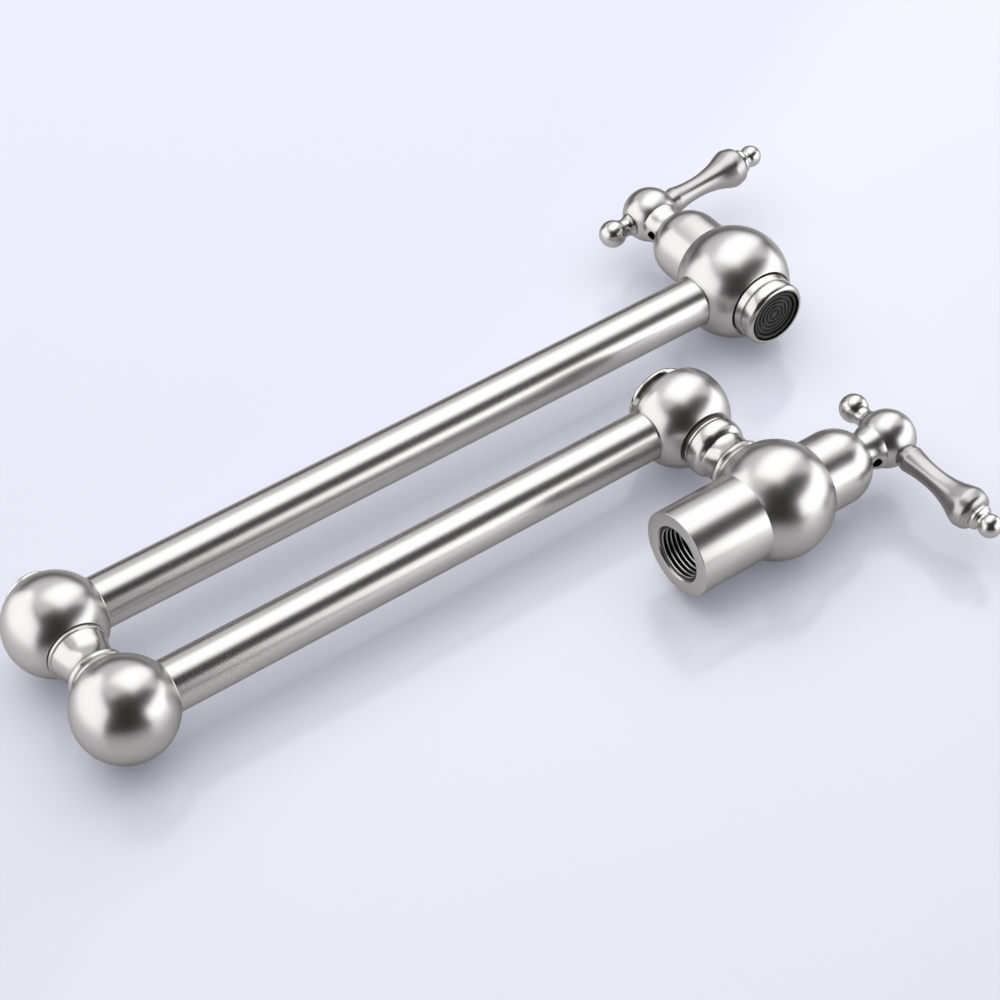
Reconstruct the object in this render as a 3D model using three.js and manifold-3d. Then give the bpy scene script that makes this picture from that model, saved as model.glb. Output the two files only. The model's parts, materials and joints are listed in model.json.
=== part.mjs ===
// Wall mounted pot filler: two swinging arms, a quarter-turn valve at the wall and one at the spout.
// Millimetres, +Z up. The origin is the centre of the inlet face, +X points away from the wall.
// The arms are folded over each other, which is how the pot filler is put away.

import * as THREE from 'three';
import { mergeVertices } from 'three/addons/utils/BufferGeometryUtils.js';
import Module from 'manifold-3d';

const wasm = await Module();
wasm.setup();

// ---------------------------------------------------------------- driving dimensions

const tubeRadius = 9.5;
const tubeWall = 1.2;
const ballRadius = 18.5; // the swivel balls at the ends of the arms
const valveBallRadius = 21.4; // the two valve bodies
const wallValveX = 43.7; // inlet face to wall valve centre
const innerArmLength = 229.8; // swivel axis to swivel axis
const outerArmLength = 293.1; // elbow axis to outlet axis
const innerArmZ = 53.3; // height of the inner arm above the inlet axis
const armRise = 47.0; // height of the outer arm above the inner arm

const slip = 0.15; // radial gap of a brazed or screwed joint
const clearance = 0.3; // gap between faces that meet

// balls
const hubBottomZ = -14.65; // the flat under a turning hub
const hubTopZ = 14.3; // the flat on top of the outer hub
const footRadius = 11.6; // the flat under a stem's foot
const chamberRadius = 11.5;
const capHoleRadius = 8.7;
const pivotBoreRadius = 8.0;
const counterboreRadius = 10.4;
const hubFloorZ = -2.5;
const capSeatZ = 9.5; // where the outer hub's cap hole widens into the chamber
const chamberTopZ = 7.5;
const elbowChamberZ = [-8.5, 5.5];
const capPlugBottomZ = 10.2;
const capOutline = [[8.9, 15.2], [9.4, 15.8], [9.7, 17.3], [9.3, 17.8], [5.0, 18.25], [0, 18.4]];

// the inner hub, drawn in above to a low flat under a broad cap
const innerHubTopZ = 9.0;
const innerHubShoulder = [
  [18.15, 3.6], [17.5, 5.8], [16.7, 6.9], [15.6, 7.8], [14.3, 8.5], [13.0, innerHubTopZ],
];
const innerCapSeatZ = 7.2;
const innerChamberTopZ = 5.2;
const innerCapPlugBottomZ = 7.6;
const innerCapOutline = [[12.4, 12.1], [12.75, 12.4], [12.75, 13.3], [12.35, 13.7], [0, 14.0]];

// swivel stems
const stemTenonRadius = 8.1;
const stemTenonLength = 5.6;
const stemBoreRadius = 4.6;
const spigotRadius = 7.7;
const spigotThreadRadius = 6.6;
const neckRadius = 9.3;
const footFlangeRadius = 11.1;
const ringGrooveRadius = 6.3;
const ringMajorRadius = 7.1;
const ringMinorRadius = 0.6;
const ringGrooveWidth = 1.8;
const ringZ = [-11.2, -6.2]; // below the hub's centre
const spigotThreadZ = hubFloorZ;
const spigotTopZ = 4.6;
const lowerShoulderZ = -16.5;
const elbowShoulderZ = -15.2;

// valves, along the valve axis from the centre of the ball
const bonnetRadius = 13.95;
const bonnetBaseZ = 13.6;
const domeCentreZ = 26.6;
const bonnetSeatZ = 12.3;
const bonnetInsideRadius = 10.4;
const bonnetInsideTopZ = 26;
const domeHoleBottomZ = 31;
const seatFloorZ = -8.3;
const waterwayRadius = 5.5;
const cartridgeRadius = 9.4;
const cartridgeBoreRadius = 8.4;
const spindleRadius = 3.8;
const spindleTopZ = 50.8;
const spindleFlatAt = 3.1; // from the axis
const portRadius = 5.0; // the way from the wall valve up to the stem

// inlet collar, G 1/2 female thread
const collarRadius = 16.1;
const threadPitch = 1.814;
const threadMajorRadius = 10.48;
const threadMinorRadius = 9.32;
const threadTurns = 6;
const threadStart = 0.9;
const inletMouthRadius = 10.95;

// handle, along the valve axis and across it
const handleHubZ = 51.5;
const handleHubRadius = 10.7;
const handleNeckRadius = 7.05;
const handleNeckBottomZ = 37.0; // inside the dome's hole
const handleNeckOutline = [[handleNeckRadius, 39.4], [7.2, 40.4], [7.65, 41.9], [8.3, 43.5]];
const screwZ = 40.8;
const screwRadius = 1.4;
const socketRadius = 3.45; // the holes for the lever and the finial are socketBottomAt deep
const finialSocketRadius = 2.5;
const socketBottomAt = 4.8;

// lever and finial, [radius, distance from the hub's centre]
const leverLean = THREE.MathUtils.degToRad(1.84); // away from the valve
const finialLean = THREE.MathUtils.degToRad(0.75);
const leverTenonRadius = 3.2;
const leverTenonAt = 5.3;
const leverFlatAt = 9.7;
const leverFlatRadius = 4.7;
const leverFoot = [[4.5, leverFlatAt + clearance], [4.75, 11.2], [5.05, 12.6]];
const leverBlade = [
  [5.08, 12.9], [4.9, 13.9], [4.55, 16], [4.25, 18.5], [4.1, 21], [4.07, 24], [4.25, 27], [4.6, 29.5],
  [5.1, 32], [5.8, 34.5], [6.55, 36.5], [7.3, 38.5], [7.83, 40.5], [7.6, 42.5], [7.1, 44.2], [5.7, 45.6],
];
const leverCollar = [[4.9, 46.2], [4.9, 47.6], [3.6, 48.5]];
const leverBallAt = 52.0;
const leverBallRadius = 4.35;
const finialTenonRadius = 2.2;
const finialTenonAt = 5.1;
const finialFlatAt = 9.55;
const finialFlatRadius = 5.4;
const finialNeck = [[4.6, finialFlatAt + clearance], [4.0, 10.7], [3.6, 12.0]];
const finialBallAt = 18.05;
const finialBallRadius = 5.4;
const wallHandleTurn = THREE.MathUtils.degToRad(3.9); // as the levers stand when closed
const outletHandleTurn = THREE.MathUtils.degToRad(-3.4);

// aerator, below the centre of the outlet ball
const aeratorFaceZ = -25.45;
const aeratorSocketZ = -13.9;
const aeratorWasherZ = [-12.1, -10.5];
const aeratorThreadRadius = 12.0;
const aeratorNeckRadius = 8.4;
const aeratorInsertRadius = 10.75;
const aeratorInsertTopZ = -15.0;
const aeratorSocketRadius = 13.85;
const aeratorFlangeRadius = 13.2;
const aeratorBodyRadius = 12.8;
const aeratorBoreRadius = 11.05;

// facets
const fine = 24; // balls
const round = 20; // tubes, stems, bonnets
const small = 16; // levers, finials
const inner = 12; // what the bodies hide
const ballSteps = 9;

// ---------------------------------------------------------------- finishes

const finish = (name, color, roughness, metalness) =>
  new THREE.MeshStandardMaterial({ name, color, roughness, metalness });
const satinNickel = () => finish('satin_nickel', 0xb4b0aa, 0.3, 1);
const polishedNickel = () => finish('polished_nickel', 0xc4c1bb, 0.12, 1);
const brass = () => finish('brass', 0xb4904c, 0.35, 1);
const steel = () => finish('steel', 0x8d9095, 0.3, 1);
const ceramic = () => finish('ceramic', 0xece9e2, 0.25, 0);
const rubber = () => finish('rubber', 0x17181a, 0.7, 0);
const blackPlastic = () => finish('black_plastic', 0x1d1e20, 0.45, 0);

// ---------------------------------------------------------------- solids

/** A closed geometry as a solid, with its shared vertices merged and its faces outwards. */
function solidFrom(geometry) {
  const bare = geometry.clone();
  bare.deleteAttribute('normal');
  bare.deleteAttribute('uv');
  const merged = mergeVertices(bare, 1e-4);
  const position = merged.getAttribute('position');
  const corners = [];
  for (let i = 0; i < merged.index.count; i += 3) {
    const [a, b, c] = [0, 1, 2].map((k) => merged.index.getX(i + k));
    if (a !== b && b !== c && c !== a) corners.push([a, b, c]);
  }
  const [p, q, r] = [new THREE.Vector3(), new THREE.Vector3(), new THREE.Vector3()];
  let volume = 0;
  for (const [a, b, c] of corners) {
    p.fromBufferAttribute(position, a);
    q.fromBufferAttribute(position, b);
    r.fromBufferAttribute(position, c);
    volume += p.dot(q.cross(r));
  }
  if (volume < 0) corners.forEach((corner) => corner.reverse());
  return new wasm.Manifold(new wasm.Mesh({
    numProp: 3,
    vertProperties: new Float32Array(position.array),
    triVerts: new Uint32Array(corners.flat()),
  }));
}

/** A profile of [radius, z] points turned about Z. It starts and ends on the axis, or is a closed ring. */
function turned(profile, segments = round) {
  const points = profile.map(([radius, z]) => new THREE.Vector2(radius, z));
  if (profile[0][0] > 0) points.push(points[0].clone());
  return solidFrom(new THREE.LatheGeometry(points, segments).rotateX(Math.PI / 2));
}

/** A plain cylinder about Z. */
const rod = (radius, from, to, segments = round) =>
  turned([[0, from], [radius, from], [radius, to], [0, to]], segments);

/** A plain ring about Z. */
const ring = (hole, outer, from, to, segments = round) =>
  turned([[hole, from], [outer, from], [outer, to], [hole, to]], segments);

/** A box between two corners. */
function block(low, high) {
  const size = high.map((value, axis) => value - low[axis]);
  const centre = high.map((value, axis) => (value + low[axis]) / 2);
  return solidFrom(new THREE.BoxGeometry(...size).translate(...centre));
}

/** Points of an arc in a profile, from one angle to another in degrees, 0 straight out from the axis. */
function arc(centreRadius, centreZ, radius, from, to, steps) {
  return Array.from({ length: steps + 1 }, (_, i) => {
    const angle = THREE.MathUtils.degToRad(from + ((to - from) * i) / steps);
    const across = centreRadius + radius * Math.cos(angle);
    return [Math.max(across, 0), centreZ + radius * Math.sin(angle)];
  });
}

/** The angle, in degrees, at which a ball's surface lies at a height or at a radius from its axis. */
const angleAtHeight = (radius, z) => THREE.MathUtils.radToDeg(Math.asin(z / radius));
const angleAtRadius = (radius, across) => THREE.MathUtils.radToDeg(Math.acos(across / radius));

/** A smooth outline through [radius, z] points. */
const smooth = (points, steps) =>
  new THREE.SplineCurve(points.map(([radius, z]) => new THREE.Vector2(radius, z)))
    .getPoints(steps)
    .map((point) => [point.x, point.y]);

/** A solid laid from the Z axis on to +X, then leaning towards +Z. */
const alongX = (solid, lean = 0) => solid.rotate([0, 90 - THREE.MathUtils.radToDeg(lean), 0]);

/** A solid laid from the Z axis on to -X, then leaning towards +Z. */
const alongMinusX = (solid, lean = 0) => solid.rotate([0, THREE.MathUtils.radToDeg(lean) - 90, 0]);

/** A named mesh from a solid. */
function piece(name, solid, material) {
  const { vertProperties, triVerts } = solid.getMesh();
  const geometry = new THREE.BufferGeometry();
  geometry.setAttribute('position', new THREE.BufferAttribute(vertProperties, 3));
  geometry.setIndex(new THREE.BufferAttribute(triVerts, 1));
  geometry.computeVertexNormals();
  const mesh = new THREE.Mesh(geometry, material);
  mesh.name = name;
  return mesh;
}

function groupOf(...children) {
  const group = new THREE.Group();
  group.add(...children);
  return group;
}

// ---------------------------------------------------------------- arms

const tubeBoreRadius = tubeRadius - tubeWall;
const socketDepth = 13.2; // from the ball's centre to the shoulder that the tube meets
const tubeEnd = socketDepth + clearance;
const shoulderRadius = 8.0;

/** The hole for a tube in the side of a ball, on to its shoulder, along +X. */
const tubeSocket = (reach) => alongX(
  rod(tubeRadius + slip, socketDepth, reach).add(rod(shoulderRadius, chamberRadius - 2, socketDepth + 1)),
);

/** The outer hub's way out to its cap: up the ball to the flat, then down the cap's hole. */
const ballTop = [
  ...arc(0, 0, ballRadius, 0, angleAtHeight(ballRadius, hubTopZ), ballSteps - 4).slice(1),
  [capHoleRadius, hubTopZ],
  [capHoleRadius, capSeatZ],
  [chamberRadius, chamberTopZ],
];

/** The same on the inner hub, over its shoulder. */
const shoulderTop = [
  ...innerHubShoulder,
  [capHoleRadius, innerHubTopZ],
  [capHoleRadius, innerCapSeatZ],
  [chamberRadius, innerChamberTopZ],
];

/** A turning hub: a ball open below for the pivot, at its side for the tube and above for the cap. */
function hubSolid(counterbore, side, top) {
  const mouth = counterbore > 0
    ? [
      [pivotBoreRadius, hubBottomZ + counterbore],
      [counterboreRadius, hubBottomZ + counterbore],
      [counterboreRadius, hubBottomZ],
    ]
    : [[pivotBoreRadius, hubBottomZ]];
  const shell = turned([
    [pivotBoreRadius, hubFloorZ],
    ...mouth,
    ...arc(0, 0, ballRadius, angleAtHeight(ballRadius, hubBottomZ), 0, ballSteps - 4),
    ...top,
    [chamberRadius, hubFloorZ],
  ], fine);
  const socket = tubeSocket(ballRadius + 1);
  return shell.subtract(side > 0 ? socket : socket.rotate([0, 0, 180]));
}

/** The polished cap that closes a hub, with a plug in the hub's hole. */
const hubCapSolid = (plugBottomZ, topZ, outline) => turned([
  [0, plugBottomZ],
  [capHoleRadius - slip, plugBottomZ],
  [capHoleRadius - slip, topZ + clearance],
  [outline[0][0], topZ + clearance],
  ...outline,
]);

/** The ball at the far end of the inner arm, open above for the elbow stem and at its side for the tube. */
function elbowSolid() {
  const flatZ = Math.sqrt(ballRadius ** 2 - footRadius ** 2);
  const shell = turned([
    ...arc(0, 0, ballRadius, -90, angleAtHeight(ballRadius, flatZ), ballSteps + 2),
    [stemTenonRadius + slip, flatZ],
    [stemTenonRadius + slip, flatZ - stemTenonLength - clearance],
    [chamberRadius, elbowChamberZ[1]],
    [chamberRadius, elbowChamberZ[0]],
    [0, elbowChamberZ[0]],
  ], fine);
  return shell.subtract(tubeSocket(ballRadius + 1));
}

/** A tube between two sockets, along X. */
const tubeSolid = (from, to) => alongX(ring(tubeBoreRadius, tubeRadius, from, to, round));

// ---------------------------------------------------------------- swivels

/** Outline of a stem's screwed tenon, foot and flange, above the centre of the ball that carries it. */
function stemFoot(ball) {
  const flatZ = Math.sqrt(ball ** 2 - footRadius ** 2);
  return [
    [stemBoreRadius, flatZ - stemTenonLength],
    [stemTenonRadius, flatZ - stemTenonLength],
    [stemTenonRadius, flatZ + clearance],
    [11.2, flatZ + clearance],
    [9.9, flatZ + 1.3],
    [10.5, ball - 1.4],
    [footFlangeRadius, ball - 0.1],
    [9.8, ball + 0.7],
    [neckRadius, ball + 1.8],
  ];
}

/** Outline of the lower stem's head: a round shoulder, a groove and a thin rim, below the hub's centre. */
const lowerHead = (hub) => [
  [neckRadius, hub - 24.6],
  [10.5, hub - 23.7],
  [11.2, hub - 22.1],
  [11.3, hub - 18.1],
  [10.3, hub - 17.5],
  [10.7, hub - 17.2],
  [10.7, hub + lowerShoulderZ],
];

/** Outline of the elbow stem's head: a neck that widens to one rim, below the hub's centre. */
const elbowHead = (hub) => [
  [neckRadius, hub - 23.0],
  [9.9, hub - 20.0],
  [10.5, hub - 16.8],
  [11.25, hub - 16.3],
  [11.25, hub + elbowShoulderZ],
];

/** Outline of the spigot on which a hub turns, with two O-ring grooves and a threaded end. */
const spigot = (hub, shoulderZ) => [
  [spigotRadius, hub + shoulderZ],
  ...ringZ.flatMap((z) => [
    [spigotRadius, hub + z - ringGrooveWidth / 2],
    [ringGrooveRadius, hub + z - ringGrooveWidth / 2],
    [ringGrooveRadius, hub + z + ringGrooveWidth / 2],
    [spigotRadius, hub + z + ringGrooveWidth / 2],
  ]),
  [spigotRadius, hub + spigotThreadZ],
  [spigotThreadRadius, hub + spigotThreadZ],
  [spigotThreadRadius, hub + spigotTopZ],
  [stemBoreRadius, hub + spigotTopZ],
];

const lowerStemSolid = () =>
  turned([...stemFoot(valveBallRadius), ...lowerHead(innerArmZ), ...spigot(innerArmZ, lowerShoulderZ)]);

const elbowStemSolid = () =>
  turned([...stemFoot(ballRadius), ...elbowHead(armRise), ...spigot(armRise, elbowShoulderZ)]);

/** An O-ring about Z. */
const oRing = (major, minor, segments = small) =>
  solidFrom(new THREE.TorusGeometry(major, minor, 6, segments));

/** The hexagon nut that keeps a hub on its spigot. */
function retainingNutSolid() {
  const acrossFlats = 17.6;
  const hexagon = rod(acrossFlats / Math.sqrt(3), hubFloorZ + clearance, 3.0, 6);
  return hexagon.subtract(rod(spigotThreadRadius + slip, -5, 5, small));
}

/** The pieces of a swivel that stay with its stem, with the hub's centre as their origin. */
function swivelPieces(name, washerTopZ, washerRadius) {
  const washer = ring(spigotRadius + clearance, washerRadius, washerTopZ - 1.5, washerTopZ);
  const rings = ['bottom', 'top'].map((place, i) => {
    const mesh = piece(`${name}_o_ring_${place}`, oRing(ringMajorRadius, ringMinorRadius), rubber());
    mesh.position.z = ringZ[i];
    return mesh;
  });
  return groupOf(
    piece(`${name}_bearing_washer`, washer, blackPlastic()),
    ...rings,
    piece(`${name}_retaining_nut`, retainingNutSolid(), brass()),
  );
}

// ---------------------------------------------------------------- valve bodies

/** The inside of a valve body above its seat, from the seat's edge out to the bonnet's counterbore. */
const bonnetBoreRadius = bonnetRadius + 0.25;
const cartridgeFitRadius = 10.0;
const valveInside = [
  [bonnetBoreRadius, bonnetSeatZ],
  [cartridgeFitRadius, bonnetSeatZ],
  [cartridgeFitRadius, 8.5],
  [chamberRadius, 7.0],
  [chamberRadius, seatFloorZ],
  [waterwayRadius, seatFloorZ],
];

/** The crests and roots of the inlet thread, from its inner end out to the mouth. */
function inletThread(faceZ) {
  const points = [];
  for (let turn = threadTurns - 1; turn >= 0; turn -= 1) {
    const start = faceZ + threadStart + turn * threadPitch;
    points.push([threadMinorRadius, start + threadPitch * 0.92]);
    points.push([threadMajorRadius, start + threadPitch * 0.5]);
    points.push([threadMinorRadius, start + threadPitch * 0.08]);
  }
  return points;
}

/** The wall valve body. Its valve axis is Z and the inlet face is below; the arms are on its -X side. */
function wallBodySolid() {
  const faceZ = -wallValveX;
  const threadEndZ = faceZ + threadStart + threadTurns * threadPitch;
  const shell = turned([
    ...valveInside,
    [waterwayRadius, threadEndZ + 4.5],
    [threadMinorRadius, threadEndZ + 1.5],
    ...inletThread(faceZ),
    [inletMouthRadius, faceZ],
    [collarRadius - 0.4, faceZ],
    [collarRadius, faceZ + 0.4],
    ...arc(0, 0, valveBallRadius, -angleAtRadius(valveBallRadius, collarRadius),
      angleAtRadius(valveBallRadius, bonnetBoreRadius), ballSteps),
  ], fine);
  const flat = Math.sqrt(valveBallRadius ** 2 - footRadius ** 2);
  const beyondFlat = block([-valveBallRadius - 1, -14, -14], [-flat, 14, 14]);
  const holeBottom = flat - stemTenonLength - clearance;
  const stemHole = alongMinusX(rod(stemTenonRadius + slip, holeBottom, valveBallRadius));
  const port = alongMinusX(rod(portRadius, chamberRadius - 2, valveBallRadius, inner));
  return shell.subtract(beyondFlat).subtract(stemHole).subtract(port);
}

/** The outlet valve body. Its valve axis is Z, the tube comes in on its -X side, the aerator is below. */
function outletBodySolid() {
  const shell = turned([
    ...valveInside,
    [waterwayRadius, aeratorWasherZ[1] + clearance],
    [aeratorThreadRadius + clearance, aeratorWasherZ[1] + clearance],
    [aeratorThreadRadius + clearance, aeratorSocketZ],
    [aeratorSocketRadius, aeratorSocketZ],
    ...arc(0, 0, valveBallRadius, -angleAtRadius(valveBallRadius, aeratorSocketRadius),
      angleAtRadius(valveBallRadius, bonnetBoreRadius), ballSteps),
  ], fine);
  return shell.subtract(tubeSocket(valveBallRadius + 1).rotate([0, 0, 180]));
}

// ---------------------------------------------------------------- valve top works

/** The domed bonnet, with a hole for the handle's neck. */
function bonnetSolid() {
  const holeRadius = handleNeckRadius + clearance;
  return turned([
    [bonnetInsideRadius, bonnetBaseZ],
    [bonnetRadius, bonnetBaseZ],
    ...arc(0, domeCentreZ, bonnetRadius, 0, angleAtRadius(bonnetRadius, holeRadius), 5),
    [holeRadius, domeHoleBottomZ],
    [bonnetInsideRadius, bonnetInsideTopZ],
  ]);
}

/** The brass cartridge casing, with two windows where the water leaves. */
function cartridgeSolid() {
  const shell = turned([
    [cartridgeBoreRadius, seatFloorZ + clearance],
    [cartridgeRadius, seatFloorZ + clearance],
    [cartridgeRadius, 8.4],
    [9.7, 8.8],
    [9.7, 20.5],
    [6.2, 20.5],
    [6.2, 24.0],
    [4.15, 24.0],
    [4.15, 2.9],
    [cartridgeBoreRadius, 2.9],
  ], small);
  return shell.subtract(block([-12, -3, -3.4], [12, 3, 1.6]));
}

/** The fixed ceramic disc, with two ports. */
function fixedDiscSolid() {
  const port = rod(2.0, -6, -3, 8);
  return rod(8.1, -5.7, -3.2, small)
    .subtract(port.translate([4.2, 0, 0]))
    .subtract(port.translate([-4.2, 0, 0]));
}

/** The turning ceramic disc, with the spindle's two slots and the channel that joins the ports. */
function movingDiscSolid() {
  const channel = block([-2.3, -9, -3.5], [2.3, 9, -1.9]);
  const slots = block([-6.6, -1.6, -1.5], [-4.2, 1.6, 0]).add(block([4.2, -1.6, -1.5], [6.6, 1.6, 0]));
  return rod(7.9, -2.9, -0.6, small).subtract(channel).subtract(slots);
}

/** The spindle: drive flange with two lugs, O-ring and clip grooves, and a flat for the handle's screw. */
function spindleSolid(screwSide) {
  const shaft = turned([
    [0, -0.3],
    [7.8, -0.3],
    [7.8, 2.4],
    [spindleRadius, 2.4],
    [spindleRadius, 13.9],
    [3.05, 13.9],
    [3.05, 15.3],
    [spindleRadius, 15.3],
    [spindleRadius, 24.4],
    [3.2, 24.4],
    [3.2, 25.5],
    [spindleRadius, 25.5],
    [spindleRadius, spindleTopZ],
    [0, spindleTopZ],
  ], inner);
  const lugs = block([-6.3, -1.3, -1.2], [-4.5, 1.3, 0]).add(block([4.5, -1.3, -1.2], [6.3, 1.3, 0]));
  const flat = block([spindleFlatAt, -4, 36], [5, 4, 46]);
  return shaft.add(lugs).subtract(screwSide > 0 ? flat : flat.rotate([0, 0, 180]));
}

/** The open clip that holds the spindle in the cartridge. */
const clipSolid = () =>
  ring(3.5, 5.5, 24.55, 25.3, inner).subtract(block([0, -1.6, 24], [7, 1.6, 26]));

// ---------------------------------------------------------------- handle

/** The ball of the handle with its neck, bored for the spindle, lever, finial and screw. */
function handleHubSolid(screwSide) {
  const boreRadius = spindleRadius + clearance;
  const beyond = handleHubRadius + 1;
  const neckAngle = -angleAtRadius(handleHubRadius, handleNeckOutline.at(-1)[0]);
  const ball = turned([
    [0, handleHubZ],
    [boreRadius, handleHubZ],
    [boreRadius, handleNeckBottomZ],
    [handleNeckRadius, handleNeckBottomZ],
    ...handleNeckOutline,
    ...arc(0, handleHubZ, handleHubRadius, neckAngle, 90, 8),
  ], round);
  const leverHole = rod(socketRadius, socketBottomAt, beyond, inner)
    .add(rod(leverFlatRadius, leverFlatAt, beyond, small));
  const finialHole = rod(finialSocketRadius, socketBottomAt, beyond, inner)
    .add(rod(finialFlatRadius, finialFlatAt, beyond, small));
  const screwHole = alongX(rod(screwRadius + clearance, 0, beyond, inner)).translate([0, 0, screwZ]);
  return ball
    .subtract(alongX(leverHole, leverLean).translate([0, 0, handleHubZ]))
    .subtract(alongMinusX(finialHole, finialLean).translate([0, 0, handleHubZ]))
    .subtract(screwSide > 0 ? screwHole : screwHole.rotate([0, 0, 180]));
}

/** The teardrop lever with its foot, collar and tip ball, from the hub's centre outwards. */
function leverSolid() {
  const ballStart = -angleAtRadius(leverBallRadius, leverCollar.at(-1)[0] - 0.2);
  return turned([
    [0, leverTenonAt],
    [leverTenonRadius, leverTenonAt],
    [leverTenonRadius, leverFlatAt + clearance],
    ...leverFoot,
    ...smooth(leverBlade, 15),
    ...leverCollar,
    ...arc(0, leverBallAt, leverBallRadius, ballStart, 90, 5),
  ], small);
}

/** The small ball opposite the lever, on a flared neck. */
function finialSolid() {
  const ballStart = -angleAtRadius(finialBallRadius, finialNeck.at(-1)[0] - 0.05);
  return turned([
    [0, finialTenonAt],
    [finialTenonRadius, finialTenonAt],
    [finialTenonRadius, finialFlatAt + clearance],
    ...finialNeck,
    ...arc(0, finialBallAt, finialBallRadius, ballStart, 90, 6),
  ], small);
}

/** The grub screw with its hexagon socket. */
function screwSolid(side) {
  const [startsAt, socketFrom, endsAt] = [spindleFlatAt + clearance, 5.4, 6.7];
  const hexagon = rod(0.85, socketFrom, endsAt + 1, 6);
  const laid = alongX(rod(screwRadius, startsAt, endsAt, inner).subtract(hexagon)).translate([0, 0, screwZ]);
  return side > 0 ? laid : laid.rotate([0, 0, 180]);
}

/** Everything above the ball of a valve, along Z from the ball's centre, with its handle turned. */
function valveTopWorks(name, handleTurn, screwSide) {
  const gasket = ring(10.8, 13.5, bonnetSeatZ + clearance, bonnetBaseZ - clearance);
  const seal = ring(4.5, 8.0, seatFloorZ + clearance, -6.0, inner);
  const spindleRing = piece(`${name}_spindle_o_ring`, oRing(3.55, 0.42, inner), rubber());
  spindleRing.position.z = 14.6;
  const fixed = groupOf(
    piece(`${name}_bonnet`, bonnetSolid(), satinNickel()),
    piece(`${name}_bonnet_gasket`, gasket, rubber()),
    piece(`${name}_cartridge`, cartridgeSolid(), brass()),
    piece(`${name}_fixed_disc`, fixedDiscSolid(), ceramic()),
    piece(`${name}_seat_seal`, seal, rubber()),
  );
  const lever = piece(`${name}_handle_lever`, alongX(leverSolid(), leverLean), polishedNickel());
  const finial = piece(`${name}_handle_finial`, alongMinusX(finialSolid(), finialLean), polishedNickel());
  lever.position.z = handleHubZ;
  finial.position.z = handleHubZ;
  const turning = groupOf(
    piece(`${name}_handle_hub`, handleHubSolid(screwSide), satinNickel()),
    lever,
    finial,
    piece(`${name}_handle_screw`, screwSolid(screwSide), steel()),
    piece(`${name}_spindle`, spindleSolid(screwSide), brass()),
    spindleRing,
    piece(`${name}_spindle_clip`, clipSolid(), steel()),
    piece(`${name}_moving_disc`, movingDiscSolid(), ceramic()),
  );
  turning.rotation.z = handleTurn;
  return groupOf(fixed, turning);
}

// ---------------------------------------------------------------- aerator

/** The housing that screws into the outlet body. */
const aeratorHousingSolid = () => turned([
  [aeratorNeckRadius, aeratorWasherZ[0] - clearance],
  [aeratorThreadRadius, aeratorWasherZ[0] - clearance],
  [aeratorThreadRadius, aeratorSocketZ - 0.4],
  [aeratorFlangeRadius, aeratorSocketZ - 0.4],
  [aeratorFlangeRadius, -17.0],
  [aeratorBodyRadius, -19.5],
  [11.9, -19.9],
  [aeratorBodyRadius, -20.4],
  [aeratorBodyRadius, -24.0],
  [12.1, -25.2],
  [11.6, aeratorFaceZ],
  [aeratorBoreRadius, aeratorFaceZ],
  [aeratorBoreRadius, aeratorInsertTopZ + clearance],
  [aeratorNeckRadius, aeratorInsertTopZ + clearance],
]);

/** The black insert: a ribbed face with a ring of holes. */
function aeratorInsertSolid() {
  const faceZ = aeratorFaceZ + 0.5;
  const ribs = [9.8, 7.2, 4.6];
  const ribWidth = 1.2;
  const grooveDepth = 1.0;
  const face = ribs.flatMap((outer) => [
    [outer, faceZ + grooveDepth],
    [outer, faceZ],
    [outer - ribWidth, faceZ],
    [outer - ribWidth, faceZ + grooveDepth],
  ]);
  let insert = turned([
    [0, aeratorInsertTopZ],
    [aeratorInsertRadius, aeratorInsertTopZ],
    [aeratorInsertRadius, faceZ + grooveDepth],
    ...face,
    [0, faceZ + grooveDepth],
  ]);
  const holes = 8;
  const hole = rod(0.6, -26, -14, 6).translate([5.3, 0, 0]);
  for (let i = 0; i < holes; i += 1) insert = insert.subtract(hole.rotate([0, 0, (360 * i) / holes]));
  return insert;
}

// ---------------------------------------------------------------- assembly

const wallValve = groupOf(
  piece('valve_body', wallBodySolid(), satinNickel()),
  valveTopWorks('wall', wallHandleTurn, 1),
);
wallValve.rotation.y = Math.PI / 2;

const lowerSwivel = swivelPieces('lower', hubBottomZ - 0.2, 10.5);
lowerSwivel.position.z = innerArmZ;

const elbowX = -innerArmLength;
const innerArm = groupOf(
  piece('inner_hub', hubSolid(0, -1, shoulderTop), satinNickel()),
  piece('inner_hub_cap', hubCapSolid(innerCapPlugBottomZ, innerHubTopZ, innerCapOutline), polishedNickel()),
  piece('inner_tube', tubeSolid(elbowX + tubeEnd, -tubeEnd), satinNickel()),
);
const elbow = groupOf(
  piece('inner_elbow', elbowSolid(), satinNickel()),
  piece('elbow_stem', elbowStemSolid(), polishedNickel()),
);
elbow.position.x = elbowX;
const elbowCounterbore = 1.5;
const elbowSwivel = swivelPieces('elbow', hubBottomZ + elbowCounterbore - 0.2, 10.1);
elbowSwivel.position.z = armRise;
elbow.add(elbowSwivel);
innerArm.add(elbow);
innerArm.position.z = innerArmZ;

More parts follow.
